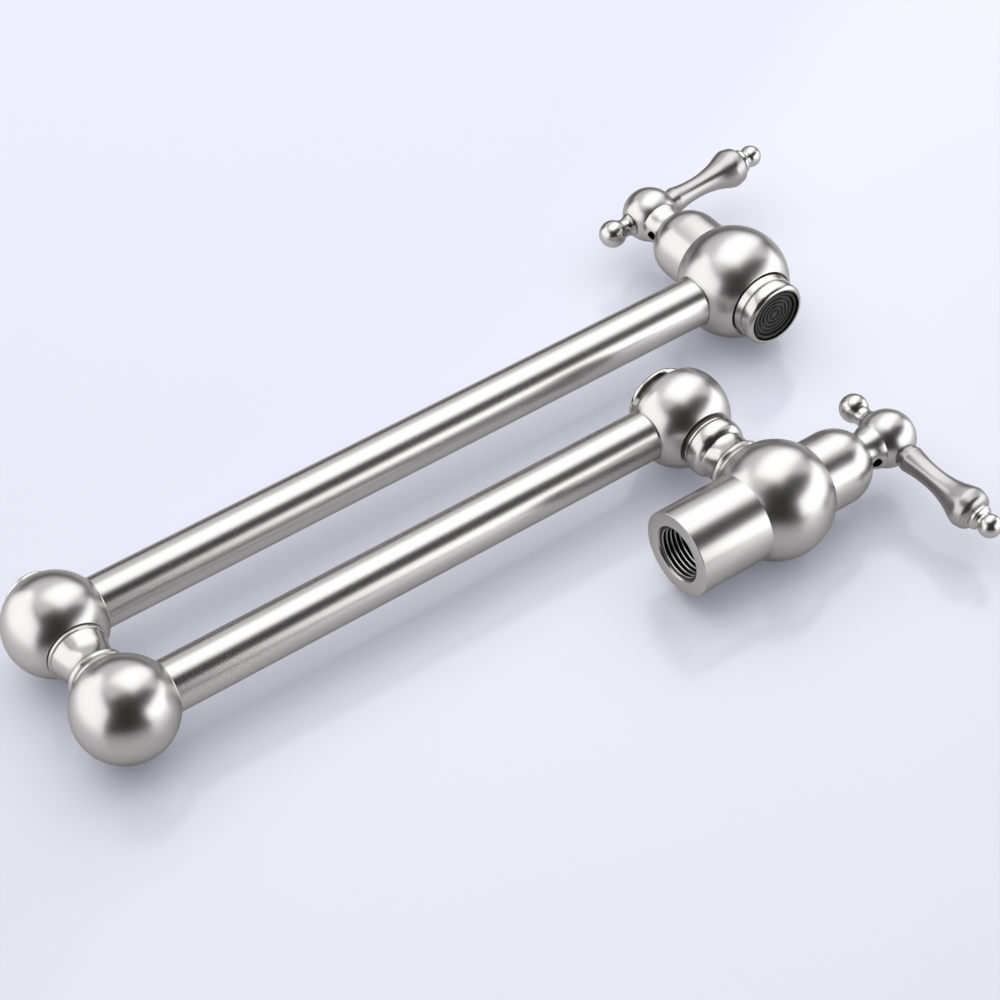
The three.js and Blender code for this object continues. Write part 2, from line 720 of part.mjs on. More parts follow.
const outletGroup = groupOf(
  piece('outlet_body', outletBodySolid(), satinNickel()),
  valveTopWorks('outlet', outletHandleTurn, -1),
  piece('aerator_housing', aeratorHousingSolid(), polishedNickel()),
  piece('aerator_insert', aeratorInsertSolid(), blackPlastic()),
  piece('aerator_washer', ring(aeratorNeckRadius, 11.9, ...aeratorWasherZ), rubber()),
);
outletGroup.position.x = outerArmLength;
const outerArm = groupOf(
  piece('outer_hub', hubSolid(elbowCounterbore, 1, ballTop), satinNickel()),
  piece('outer_hub_cap', hubCapSolid(capPlugBottomZ, hubTopZ, capOutline), polishedNickel()),
  piece('outer_tube', tubeSolid(tubeEnd, outerArmLength - tubeEnd), satinNickel()),
  outletGroup,
);
outerArm.position.set(elbowX, 0, innerArmZ + armRise);

const potFiller = groupOf(
  wallValve,
  piece('lower_stem', lowerStemSolid(), polishedNickel()),
  lowerSwivel,
  innerArm,
  outerArm,
);
potFiller.position.x = wallValveX;

export default groupOf(potFiller);
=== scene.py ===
"""Wall mounted pot filler in satin nickel, lying folded on a white table under softboxes."""

import json
import math

import bmesh
import bpy
from bpy.props import FloatProperty, FloatVectorProperty, PointerProperty
from mathutils import Matrix, Vector


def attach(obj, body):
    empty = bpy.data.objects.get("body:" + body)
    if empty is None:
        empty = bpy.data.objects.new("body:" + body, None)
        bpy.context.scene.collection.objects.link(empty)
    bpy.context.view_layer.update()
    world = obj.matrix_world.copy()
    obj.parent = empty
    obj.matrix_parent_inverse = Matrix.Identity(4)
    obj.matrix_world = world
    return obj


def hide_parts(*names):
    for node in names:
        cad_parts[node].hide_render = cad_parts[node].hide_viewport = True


bl_info = {
    "name": "Pot filler",
    "version": (1, 0, 0),
    "blender": (4, 5, 0),
    "location": "3D View > Sidebar > Pot filler",
    "description": "Dresses the wall mounted pot filler and sets it on a white table",
    "category": "Object",
}

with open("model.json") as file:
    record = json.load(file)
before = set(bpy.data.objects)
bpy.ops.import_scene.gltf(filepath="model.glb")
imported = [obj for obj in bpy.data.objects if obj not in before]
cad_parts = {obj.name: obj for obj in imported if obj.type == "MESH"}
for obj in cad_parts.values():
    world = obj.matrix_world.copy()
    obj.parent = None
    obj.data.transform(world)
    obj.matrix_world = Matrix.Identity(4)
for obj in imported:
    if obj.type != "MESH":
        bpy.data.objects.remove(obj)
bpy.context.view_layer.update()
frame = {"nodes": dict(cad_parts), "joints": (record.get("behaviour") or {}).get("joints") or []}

# ------------------------------------------------------------------ places, from the frame's joints

JOINT_AT = {joint["name"]: Vector(joint["pos_m"]) for joint in frame["joints"]}
WALL_VALVE = Vector((JOINT_AT["lower_swivel"].x, 0, 0))
INNER_HUB = JOINT_AT["lower_swivel"]
ELBOW_HUB = JOINT_AT["elbow_swivel"]
ELBOW = Vector((ELBOW_HUB.x, 0, INNER_HUB.z))
OUTLET_VALVE = Vector((JOINT_AT["outlet_handle_turn"].x, 0, ELBOW_HUB.z))

UPRIGHT = Matrix.Identity(4)
ALONG_X = Matrix.Rotation(math.radians(90), 4, "Y")
ALONG_MINUS_X = Matrix.Rotation(math.radians(-90), 4, "Y")

# ------------------------------------------------------------------ sizes in millimetres

MM = 0.001
TURN_STEPS = 112
SMALL_STEPS = 40
SHARP_ANGLE = math.radians(32)

# balls and tubes, from a ball's centre
BALL = 18.5
VALVE_BALL = 21.4
TUBE = 9.5
TUBE_BORE = 8.3
TUBE_IN_BALL = 10.0

# hubs and their caps, from the hub's centre
HUB_BOTTOM = -14.65
HUB_TOP = 14.3
INNER_HUB_TOP = 9.0
INNER_SHOULDER = 3.0
INNER_LIP_TOP = 5.6
PIVOT_BORE = 8.0
PIVOT_DEPTH = 4
CAP_HOLE = 8.85
CAP_PLUG = 8.7

# stems
FOOT = 11.6
TENON = 8.0
SPIGOT = 7.7
SPIGOT_END = 12.0

# valves, along the valve's axis from the ball's centre
BONNET = 13.95
BONNET_BASE = 13.0
BONNET_BORE = 10.4
BONNET_SEAT = 12.3
DOME_CENTRE = 26.6
COUNTERBORE = 14.15
INLET_FACE = -43.7
INLET_MOUTH = 10.85
COLLAR = 16.1
WATERWAY = 5.5
THREAD_START = INLET_FACE - 0.25
THREAD_PITCH = 1.814
THREAD_ROOT = 10.48
THREAD_CREST = 9.32
THREAD_TURNS = 6
CREST_EDGE = 0.2
AERATOR_SOCKET = 13.8
AERATOR_SOCKET_FLOOR = -13.9
AERATOR_FACE = -25.45

# handles, along the valve's axis and then across it
HANDLE_BALL_AT = 51.5
HANDLE_BALL = 10.7
HANDLE_BORE = 4.1
HANDLE_BORE_END = 50.0
HANDLE_NECK = 7.05
NECK_BOTTOM = 37.0
SCREW_AT = 40.8
SCREW_HOLE = 1.9
LEVER_FLAT = 9.7
LEVER_TIP_FROM = 45.8
TIP_BALL_AT = 52.0
TIP_BALL = 4.35
FINIAL_BALL_AT = 18.05
FINIAL_BALL = 5.4
FINIAL_FLAT = 9.55

LEVER_LEAN = math.radians(1.84)
FINIAL_LEAN = math.radians(0.75)
WALL_HANDLE_TURN = math.radians(3.9)
OUTLET_HANDLE_TURN = math.radians(-3.4)

# ------------------------------------------------------------------ settings


class PotFillerFinish(bpy.types.PropertyGroup):
    """Colours and polish of the pot filler."""

    nickel: FloatVectorProperty(
        name="Nickel",
        description="Colour of the nickel",
        default=(0.545, 0.534, 0.533),
        subtype="COLOR",
        min=0,
        max=1,
    )
    satin: FloatProperty(
        name="Satin roughness",
        description="Roughness of the brushed balls and bonnets",
        default=0.29,
        subtype="FACTOR",
        min=0,
        max=1,
    )
    drawn: FloatProperty(
        name="Drawn roughness",
        description="Roughness of the tubes",
        default=0.27,
        subtype="FACTOR",
        min=0,
        max=1,
    )
    buffed: FloatProperty(
        name="Buffed roughness",
        description="Roughness of the levers",
        default=0.3,
        subtype="FACTOR",
        min=0,
        max=1,
    )
    bright: FloatProperty(
        name="Bright roughness",
        description="Roughness of the stems and the aerator's ring",
        default=0.23,
        subtype="FACTOR",
        min=0,
        max=1,
    )
    polished: FloatProperty(
        name="Polished roughness",
        description="Roughness of the finials and the lever tips",
        default=0.25,
        subtype="FACTOR",
        min=0,
        max=1,
    )
    mirror: FloatProperty(
        name="Mirror roughness",
        description="Roughness of the hubs' caps",
        default=0.13,
        subtype="FACTOR",
        min=0,
        max=1,
    )
    edge: FloatProperty(
        name="Edge tint",
        description="Brightness of the metal where it is seen edge on",
        default=0.7,
        subtype="FACTOR",
        min=0,
        max=1,
    )
    brush_depth: FloatProperty(
        name="Brush depth",
        description="Depth of the brush marks",
        default=0.0000004,
        subtype="DISTANCE",
        unit="LENGTH",
        precision=7,
    )


class PotFillerStage(bpy.types.PropertyGroup):
    """The table, the lamps and the camera."""

    table: FloatVectorProperty(
        name="Table",
        description="Colour of the white table",
        default=(0.785, 0.81, 0.94),
        subtype="COLOR",
        min=0,
        max=1,
    )
    table_glow: FloatProperty(
        name="Table brightness",
        description="Share of the table's brightness that no shadow takes",
        default=0.16,
        min=0,
        max=1,
    )
    lamp_strength: FloatProperty(
        name="Softboxes",
        description="Brightness of the softboxes' faces",
        default=2.26,
        min=0,
    )
    sky: FloatProperty(
        name="Ceiling",
        description="Brightness of the ceiling that lights the table evenly",
        default=1.38,
        min=0,
    )
    room: FloatProperty(
        name="Room",
        description="Brightness of the dark studio round the table",
        default=0.02,
        min=0,
    )
    lens: FloatProperty(
        name="Lens",
        description="Focal length of the camera",
        default=94.44,
        subtype="DISTANCE_CAMERA",
        unit="CAMERA",
    )


# ------------------------------------------------------------------ profiles


def arc(centre, radius, start, end, steps, across=0.0):
    """Points of a circle in a profile; degrees, 0 straight out from the axis and 90 along it."""
    points = []
    for i in range(steps + 1):
        angle = math.radians(start + (end - start) * i / steps)
        points.append((max(across + radius * math.cos(angle), 0.0), centre + radius * math.sin(angle)))
    return points


def at_height(radius, height):
    """Degrees up a ball at which its surface has that height."""
    return math.degrees(math.asin(height / radius))


def at_radius(radius, across):
    """Degrees up a ball at which its surface is that far from the axis."""
    return math.degrees(math.acos(across / radius))


def flowing(points, steps):
    """A smooth line through profile points, a Catmull-Rom curve."""
    ends = [points[0], *points, points[-1]]
    line = []
    for i in range(len(points) - 1):
        a, b, c, d = (Vector(p) for p in ends[i : i + 4])
        for j in range(steps):
            t = j / steps
            point = (
                b * 2
                + (c - a) * t
                + (a * 2 - b * 5 + c * 4 - d) * t**2
                + (b * 3 - a - c * 3 + d) * t**3
            ) / 2
            line.append((point.x, point.y))
    return [*line, tuple(points[-1])]


def rounded(points, fillets):
    """A closed or open profile as a bmesh line in the XZ plane, with some of its corners rounded."""
    bm = bmesh.new()
    corners = [bm.verts.new((across * MM, 0, along * MM)) for across, along in points]
    pairs = list(zip(corners, corners[1:]))
    if points[0][0] > 0:
        pairs.append((corners[-1], corners[0]))
    for pair in pairs:
        bm.edges.new(pair)
    for size in sorted(set(fillets.values())):
        chosen = [corners[i] for i, fillet in fillets.items() if fillet == size]
        bmesh.ops.bevel(
            bm,
            geom=chosen,
            offset=size * MM,
            offset_type="OFFSET",
            segments=4,
            profile=0.5,
            affect="VERTICES",
            material=-1,
        )
    return bm


def turned(points, place=UPRIGHT, fillets=None, steps=TURN_STEPS):
    """A solid turned about Z from a profile of (radius, height) millimetres, then placed."""
    corners = {points.index(point): size for point, size in (fillets or {}).items()}
    bm = rounded(points, corners)
    bmesh.ops.spin(
        bm,
        geom=bm.verts[:] + bm.edges[:],
        axis=(0, 0, 1),
        cent=(0, 0, 0),
        angle=math.tau,
        steps=steps,
        use_merge=True,
    )
    bmesh.ops.remove_doubles(bm, verts=bm.verts, dist=1e-7)
    bmesh.ops.recalc_face_normals(bm, faces=bm.faces)
    bmesh.ops.transform(bm, matrix=place, verts=bm.verts)
    return bm


def trim(bm, point, normal):
    """Cuts away what lies past a plane and closes the cut."""
    geometry = bm.verts[:] + bm.edges[:] + bm.faces[:]
    made = bmesh.ops.bisect_plane(
        bm, geom=geometry, plane_co=point, plane_no=normal, clear_outer=True, dist=1e-7
    )
    rim = [item for item in made["geom_cut"] if isinstance(item, bmesh.types.BMEdge)]
    bmesh.ops.edgeloop_fill(bm, edges=rim)
    bmesh.ops.recalc_face_normals(bm, faces=bm.faces)


def shade(bm):
    """Smooth faces, with the turned edges kept crisp."""
    for face in bm.faces:
        face.smooth = True
    for edge in bm.edges:
        edge.smooth = edge.calc_face_angle(0) < SHARP_ANGLE


def piece(name, parts, body, materials, replaces, finish_and_shade=None):
    """One object made of turned solids that rides on a body and stands for CAD nodes."""
    mesh = bpy.data.meshes.new(name)
    whole = bmesh.new()
    for part in parts:
        shade(part)
        part.to_mesh(mesh)
        part.free()
        whole.from_mesh(mesh)
    # The given function picks each face's material: a real finish such as the lever's polished tip, and
    # painted shade in the inlet's thread and the screw holes.
    if finish_and_shade:
        for face in whole.faces:
            face.material_index = finish_and_shade(face.calc_center_median())
    whole.to_mesh(mesh)
    whole.free()
    for material in materials:
        mesh.materials.append(bpy.data.materials[material])
    made = bpy.data.objects.new(name, mesh)
    bpy.context.scene.collection.objects.link(made)
    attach(made, body)
    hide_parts(*replaces)


def drilled(bm, cutter):
    """A solid with another one cut out of it."""
    kept = []
    for name, part in (("solid", bm), ("drill", cutter)):
        mesh = bpy.data.meshes.new(name)
        part.to_mesh(mesh)
        part.free()
        made = bpy.data.objects.new(name, mesh)
        bpy.context.scene.collection.objects.link(made)
        kept.append(made)
    solid, drill = kept
    cut = solid.modifiers.new("drilled", "BOOLEAN")
    cut.operation = "DIFFERENCE"
    cut.solver = "EXACT"
    cut.object = drill
    graph = bpy.context.evaluated_depsgraph_get()
    result = bpy.data.meshes.new_from_object(solid.evaluated_get(graph))
    made = bmesh.new()
    made.from_mesh(result)
    for item in kept:
        mesh = item.data
        bpy.data.objects.remove(item)
        bpy.data.meshes.remove(mesh)
    bpy.data.meshes.remove(result)
    return made


def at(centre, turn=UPRIGHT):
    """A place in the frame: a turn, then a move to a centre given in metres."""
    return Matrix.Translation(centre) @ turn


# ------------------------------------------------------------------ shapes


def tube_lip(ball, place):
    """The thin raised edge round the hole by which a tube goes into a ball, along Z."""
    seat = math.sqrt(ball**2 - (TUBE + 0.55) ** 2)
    return turned(
        [
            (TUBE + 0.06, seat - 1.0),
            (TUBE + 0.85, seat - 1.0),
            (TUBE + 0.75, seat - 0.25),
            (TUBE + 0.28, seat + 0.42),
            (TUBE + 0.06, seat + 0.36),
        ],
        place,
    )


def outer_hub():
    """The outer hub: a ball open below for its pivot, with a flat above for the cap."""
    washer_bore, washer_seat, cap_seat = 10.45, HUB_BOTTOM + 1.2, 12.0
    ball = arc(0, BALL, at_height(BALL, HUB_BOTTOM), at_height(BALL, HUB_TOP), 48)
    points = [(0.0, HUB_BOTTOM + PIVOT_DEPTH), (PIVOT_BORE, HUB_BOTTOM + PIVOT_DEPTH)]
    points += [(PIVOT_BORE, washer_seat), (washer_bore, washer_seat), (washer_bore, HUB_BOTTOM)]
    points += [*ball, (CAP_HOLE, HUB_TOP), (CAP_HOLE, cap_seat), (0.0, cap_seat)]
    return turned(points, at(ELBOW_HUB), {ball[0]: 0.12, ball[-1]: 0.12})


def inner_hub():
    """The inner hub: a ball drawn in above to a low flat under its broad cap."""
    cap_seat = 7.4
    ball = arc(0, BALL, at_height(BALL, HUB_BOTTOM), at_height(BALL, INNER_SHOULDER), 40)
    shoulder = [(18.255, INNER_SHOULDER), (17.5, 5.8), (16.7, 6.9)]
    shoulder += [(15.6, 7.8), (14.3, 8.5), (13.0, INNER_HUB_TOP)]
    points = [(0.0, HUB_BOTTOM + PIVOT_DEPTH), (PIVOT_BORE, HUB_BOTTOM + PIVOT_DEPTH)]
    points += [(PIVOT_BORE, HUB_BOTTOM), *ball, *flowing(shoulder, 6)[1:]]
    points += [(CAP_HOLE, INNER_HUB_TOP), (CAP_HOLE, cap_seat), (0.0, cap_seat)]
    return turned(points, at(INNER_HUB), {ball[0]: 0.12})


def outer_cap():
    """The polished cap on top of the outer hub."""
    low, high = (9.4, 15.75), (9.7, 17.35)
    points = [(0.0, 12.3), (CAP_PLUG, 12.3), (CAP_PLUG, 15.0), low, high]
    points += [(9.3, 17.8), (5.0, 18.2), (0.0, 18.3)]
    return turned(points, at(ELBOW_HUB), {high: 0.25, low: 0.15})


def inner_cap():
    """The broad polished cap on top of the inner hub, with a rounded rim over a sloping underside."""
    under = INNER_HUB_TOP + 0.1
    low, high = (12.72, 12.3), (12.72, 13.5)
    points = [(0.0, 7.6), (CAP_PLUG, 7.6), (CAP_PLUG, under), (10.7, under), (12.45, 12.1)]
    points += [low, high, (12.2, 13.75), (0.0, 13.95)]
    return turned(points, at(INNER_HUB), {low: 0.15, high: 0.45})


def tube(start, end):
    """An arm's tube between two balls at the same height."""
    near, far = TUBE_IN_BALL, (end.x - start.x) / MM - TUBE_IN_BALL
    return turned([(TUBE_BORE, near), (TUBE, near), (TUBE, far), (TUBE_BORE, far)], at(start, ALONG_X))


def stem_foot(ball):
    """Outline of a stem's foot and flange, above the centre of the ball that carries it."""
    flat = math.sqrt(ball**2 - FOOT**2)
    return [
        (0.0, flat - 3),
        (TENON, flat - 3),
        (TENON, flat + 0.05),
        (11.45, flat + 0.05),
        (10.6, flat + 0.45),
        (9.9, flat + 1.1),
        (9.9, ball - 1.75),
        (10.45, ball - 1.45),
        (10.9, ball - 0.3),
        (10.75, ball + 0.15),
        (9.9, ball + 0.75),
        (9.35, ball + 1.7),
    ]


def lower_stem():
    """The stem between the wall valve and the inner hub, with a round shoulder under a thin rim."""
    hub = (INNER_HUB.z - WALL_VALVE.z) / MM
    foot = stem_foot(VALVE_BALL)
    shoulder = [(9.3, hub - 25.4), (9.55, hub - 24.6), (10.4, hub - 23.4)]
    shoulder += [(11.05, hub - 22.0), (11.3, hub - 20.6)]
    head = [
        (11.3, hub - 18.2),
        (11.0, hub - 17.75),
        (10.15, hub - 17.55),
        (10.15, hub - 17.3),
        (10.7, hub - 17.15),
        (10.7, hub - 16.5),
        (SPIGOT, hub - 16.45),
        (SPIGOT, hub - SPIGOT_END),
        (0.0, hub - SPIGOT_END),
    ]
    fillets = {head[0]: 0.3, foot[8]: 0.2, foot[7]: 0.15}
    return turned([*foot, *flowing(shoulder, 5), *head], at(WALL_VALVE), fillets)


def elbow_stem():
    """The stem between the elbow and the outer hub, a neck that widens to one rim."""
    hub = (ELBOW_HUB.z - ELBOW.z) / MM
    foot = stem_foot(BALL)
    neck = [(9.3, hub - 23.2), (9.45, hub - 21.4), (9.95, hub - 19.2)]
    neck += [(10.35, hub - 17.6), (10.55, hub - 16.75)]
    head = [
        (11.2, hub - 16.45),
        (11.25, hub - 15.3),
        (10.2, hub - 15.1),
        (SPIGOT, hub - 15.1),
        (SPIGOT, hub - SPIGOT_END),
        (0.0, hub - SPIGOT_END),
    ]
    fillets = {head[0]: 0.2, head[1]: 0.2, foot[8]: 0.2, foot[7]: 0.15}
    return turned([*foot, *flowing(neck, 5), *head], at(ELBOW), fillets)


def bearing_washer(centre, top, radius):
    """The black washer between a stem and the hub that turns on it; its black also stands for the shade in
    the gap under the hub, as painted shade.
    """
    hole, bottom = 7.9, top - 1.5
    points = [(hole, bottom), (radius, bottom), (radius, top), (hole, top)]
    return turned(points, at(centre), {points[1]: 0.15, points[2]: 0.15})


def elbow_ball():
    """The ball at the far end of the inner arm, cut flat under the stem's foot."""
    flat = math.sqrt(BALL**2 - FOOT**2)
    ball = arc(0, BALL, -90, at_height(BALL, flat), 56)
    return turned([*ball, (8.3, flat), (8.3, flat - 4), (0.0, flat - 4)], at(ELBOW), {ball[-1]: 0.1})


def inlet_thread():
    """Crests and roots of the inlet's female thread, from its inner end out to the mouth."""
    outline = (
        (THREAD_CREST, 0.96),
        (THREAD_CREST + CREST_EDGE, 0.85),
        (THREAD_ROOT, 0.55),
        (THREAD_ROOT, 0.45),
        (THREAD_CREST, 0.06),
    )
    points = []
    for turn in range(THREAD_TURNS - 1, -1, -1):
        start = THREAD_START + turn * THREAD_PITCH
        points += [(across, start + THREAD_PITCH * share) for across, share in outline]
    return points


def wall_ball():
    """The wall valve's body: inlet collar, ball and the recess of the bonnet, about X."""
    thread_end = INLET_FACE + 0.95 + THREAD_TURNS * THREAD_PITCH
    collar, mouth = (COLLAR, INLET_FACE), (INLET_MOUTH, INLET_FACE)
    ball = arc(0, VALVE_BALL, -at_radius(VALVE_BALL, COLLAR), at_radius(VALVE_BALL, COUNTERBORE), 56)
    points = [
        (0.0, thread_end + 6),
        (WATERWAY, thread_end + 6),
        (WATERWAY, thread_end + 4.5),
        (THREAD_CREST, thread_end + 1.5),
        *inlet_thread()[:-2],
        mouth,
        collar,
        *ball,
        (COUNTERBORE, BONNET_SEAT),
        (0.0, BONNET_SEAT),
    ]
    bm = turned(points, at(WALL_VALVE, ALONG_X), {collar: 0.35, mouth: 0.15, ball[-1]: 0.12})
    flat = math.sqrt(VALVE_BALL**2 - FOOT**2) * MM
    trim(bm, WALL_VALVE + Vector((0, 0, flat)), (0, 0, 1))
    return bm


def outlet_ball():
    """The outlet valve's body, with the aerator's socket below and the bonnet's recess above."""
    low, high = -at_radius(VALVE_BALL, AERATOR_SOCKET), at_radius(VALVE_BALL, COUNTERBORE)
    ball = arc(0, VALVE_BALL, low, high, 60)
    points = [(0.0, AERATOR_SOCKET_FLOOR), (AERATOR_SOCKET, AERATOR_SOCKET_FLOOR), *ball]
    points += [(COUNTERBORE, BONNET_SEAT), (0.0, BONNET_SEAT)]
    return turned(points, at(OUTLET_VALVE), {ball[0]: 0.12, ball[-1]: 0.12})


def bonnet(place):
    """The domed bonnet over a valve."""
    hole = HANDLE_NECK + 0.12
    dome = arc(DOME_CENTRE, BONNET, 0, at_radius(BONNET, hole), 28)
    points = [(hole, 31.0), (BONNET_BORE, 26.0), (BONNET_BORE, BONNET_BASE), (BONNET, BONNET_BASE), *dome]
    return turned(points, place, {dome[-1]: 0.1})


def screw_axis(screw_side):
    """The grub screw's own axes on a handle: Z out along the screw, towards +X or -X."""
    return at((0, 0, SCREW_AT * MM), ALONG_X if screw_side > 0 else ALONG_MINUS_X)


def handle_hub(place, screw_side):
    """The handle's ball and neck, with the hole of the screw and flats under the lever and the finial."""
    ball = arc(HANDLE_BALL_AT, HANDLE_BALL, -at_radius(HANDLE_BALL, 8.35), 90, 44)
    neck = [(HANDLE_NECK, NECK_BOTTOM), (HANDLE_NECK, 39.4), (7.2, 40.4), (7.65, 41.9), (8.3, 43.6)]
    bore = [(0.0, HANDLE_BORE_END), (HANDLE_BORE, HANDLE_BORE_END), (HANDLE_BORE, NECK_BOTTOM)]
    bm = turned([*bore, *neck, *ball])
    centre = Vector((0, 0, HANDLE_BALL_AT * MM))
    for flat, side, lean in ((LEVER_FLAT, 1, -LEVER_LEAN), (FINIAL_FLAT, -1, FINIAL_LEAN)):
        out = Matrix.Rotation(lean, 4, "Y") @ Vector((side, 0, 0))
        trim(bm, centre + out * flat * MM, out)
    hole = turned([(0.0, 5.0), (SCREW_HOLE, 5.0), (SCREW_HOLE, 10.0), (0.0, 10.0)], steps=SMALL_STEPS)
    bmesh.ops.transform(hole, matrix=screw_axis(screw_side), verts=hole.verts)
    bm = drilled(bm, hole)
    bmesh.ops.transform(bm, matrix=place, verts=bm.verts)
    return bm


def handle_screw(place, screw_side):
    """The grub screw in the neck, with its hexagon socket."""
    socket = turned([(0.0, 4.0), (0.85, 4.0), (0.85, 7.0), (0.0, 7.0)], steps=6)
    blank = turned([(0.0, 2.4), (1.5, 2.4), (1.5, 5.2), (0.0, 5.2)], steps=SMALL_STEPS)
    screw = drilled(blank, socket)
    bmesh.ops.transform(screw, matrix=place @ screw_axis(screw_side), verts=screw.verts)
    return screw


def lever(place):
    """The teardrop lever with a flared foot, a collar and a ball at its tip."""
    start = LEVER_FLAT + 0.03
    foot = [(4.5, start), (4.75, 11.2), (5.05, 12.6)]
    blade = flowing(
        [
            (5.08, 12.95),
            (4.9, 13.9),
            (4.55, 16.0),
            (4.25, 18.5),
            (4.1, 21.0),
            (4.07, 24.0),
            (4.25, 27.0),
            (4.6, 29.5),
            (5.1, 32.0),
            (5.8, 34.5),
            (6.55, 36.5),
            (7.3, 38.5),
            (7.83, 40.5),
            (7.6, 42.5),
            (7.1, 44.2),
            (6.0, 45.4),
            (4.6, 46.0),
        ],
        5,
    )
    ball = arc(TIP_BALL_AT, TIP_BALL, -at_radius(TIP_BALL, 3.6), 90, 30)
    collar = [(4.95, 46.3), (4.95, 47.7), (4.0, 48.2), (3.6, 48.8)]
    points = [(0.0, 8.0), (3.2, 8.0), (3.2, start), *foot, *blade, *collar, *ball]
    fillets = {foot[0]: 0.12, foot[2]: 0.12, collar[0]: 0.3, collar[1]: 0.4}
    turn = Matrix.Rotation(math.radians(90) - LEVER_LEAN, 4, "Y")
    return turned(points, place @ at((0, 0, HANDLE_BALL_AT * MM), turn), fillets)


def finial(place):
    """The small ball opposite the lever, on a flared neck."""
    neck = flowing([(4.75, 9.85), (4.5, 10.3), (4.05, 10.9), (3.7, 11.7), (3.58, 12.5), (3.75, 13.6)], 5)
    ball = arc(FINIAL_BALL_AT, FINIAL_BALL, -at_radius(FINIAL_BALL, 3.95), 90, 30)
    points = [(0.0, 9.0), (2.4, 9.0), (2.4, 9.8), *neck, *ball]
    turn = Matrix.Rotation(FINIAL_LEAN - math.radians(90), 4, "Y")
    return turned(points, place @ at((0, 0, HANDLE_BALL_AT * MM), turn))


def aerator_housing():
    """The polished ring that holds the aerator."""
    face, bore = AERATOR_FACE, 11.0
    outer = [(12.0, -14.2), (13.15, -14.2), (13.15, -16.9), (12.85, -19.45), (11.9, -19.85)]
    outer += [(11.9, -20.05), (12.78, -20.45), (12.85, -23.9), (12.3, -24.95), (11.6, face)]
    points = [(bore, -15.0), *outer, (bore, face)]
    return turned(points, at(OUTLET_VALVE), {outer[2]: 0.15, outer[-2]: 0.5, (bore, face): 0.12})


def aerator_insert():
    """The black insert, with concentric ribs."""
    floor, disc, ring = AERATOR_FACE + 2.3, AERATOR_FACE + 1.2, AERATOR_FACE + 0.4
    points = [(0.0, -16.0), (10.75, -16.0), (10.75, floor), (9.9, floor), (9.9, ring), (9.1, ring)]
    points += [(9.1, floor), (8.4, floor), (8.4, disc)]
    for outer in (7.4, 5.7, 4.0, 2.3):
        points += [(outer, disc), (outer, disc + 0.6), (outer - 0.65, disc + 0.6), (outer - 0.65, disc)]
    points.append((0.0, disc))
    return turned(points, at(OUTLET_VALVE), {points[4]: 0.3, points[5]: 0.3})


# ------------------------------------------------------------------ finishes

# how fine the marks of each kind of surface are, as the scale of their pattern
BRUSHED, MACHINED, RUBBED, MOULDED = 2600, 1800, 1200, 900


def node(tree, kind, **values):
    """A shader node with its sockets or settings filled in."""
    made = tree.nodes.new(kind)
    for name, value in values.items():
        if name in made.inputs:
            made.inputs[name].default_value = value
        else:
            setattr(made, name, value)
    return made


def brushing_group():
    """Shared node group: fine brush marks as a roughness and a height, with a colour that varies a little."""
    group = bpy.data.node_groups.new("Brushing", "ShaderNodeTree")
    socket = group.interface.new_socket
    socket(name="Vector", in_out="INPUT", socket_type="NodeSocketVector")
    for name in ("Fineness", "Roughness", "Spread"):
        socket(name=name, in_out="INPUT", socket_type="NodeSocketFloat")
    socket(name="Tint", in_out="INPUT", socket_type="NodeSocketColor")
    socket(name="Color", in_out="OUTPUT", socket_type="NodeSocketColor")
    socket(name="Roughness", in_out="OUTPUT", socket_type="NodeSocketFloat")
    socket(name="Height", in_out="OUTPUT", socket_type="NodeSocketFloat")
    start = group.nodes.new("NodeGroupInput")
    end = group.nodes.new("NodeGroupOutput")
    link = group.links.new

    marks = node(group, "ShaderNodeTexNoise", Detail=3.0, Roughness=0.6)
    link(start.outputs["Vector"], marks.inputs["Vector"])
    link(start.outputs["Fineness"], marks.inputs["Scale"])

    cloud = node(group, "ShaderNodeTexNoise", Scale=38.0, Detail=2.0)
    link(start.outputs["Vector"], cloud.inputs["Vector"])

    mixed = node(group, "ShaderNodeMath", operation="ADD")
    link(marks.outputs["Fac"], mixed.inputs[0])
    link(cloud.outputs["Fac"], mixed.inputs[1])
    centred = node(group, "ShaderNodeMath", operation="SUBTRACT")
    link(mixed.outputs[0], centred.inputs[0])
    centred.inputs[1].default_value = 1.0
    wander = node(group, "ShaderNodeMath", operation="MULTIPLY_ADD")
    link(centred.outputs[0], wander.inputs[0])
    link(start.outputs["Spread"], wander.inputs[1])
    link(start.outputs["Roughness"], wander.inputs[2])

    shade_range = node(group, "ShaderNodeMapRange")
    shade_range.inputs["To Min"].default_value = 0.95
    shade_range.inputs["To Max"].default_value = 1.05
    link(cloud.outputs["Fac"], shade_range.inputs["Value"])
    tone = node(group, "ShaderNodeVectorMath", operation="SCALE")
    link(start.outputs["Tint"], tone.inputs[0])
    link(shade_range.outputs["Result"], tone.inputs["Scale"])

    link(tone.outputs[0], end.inputs["Color"])
    link(wander.outputs[0], end.inputs["Roughness"])
    link(marks.outputs["Fac"], end.inputs["Height"])
    return group


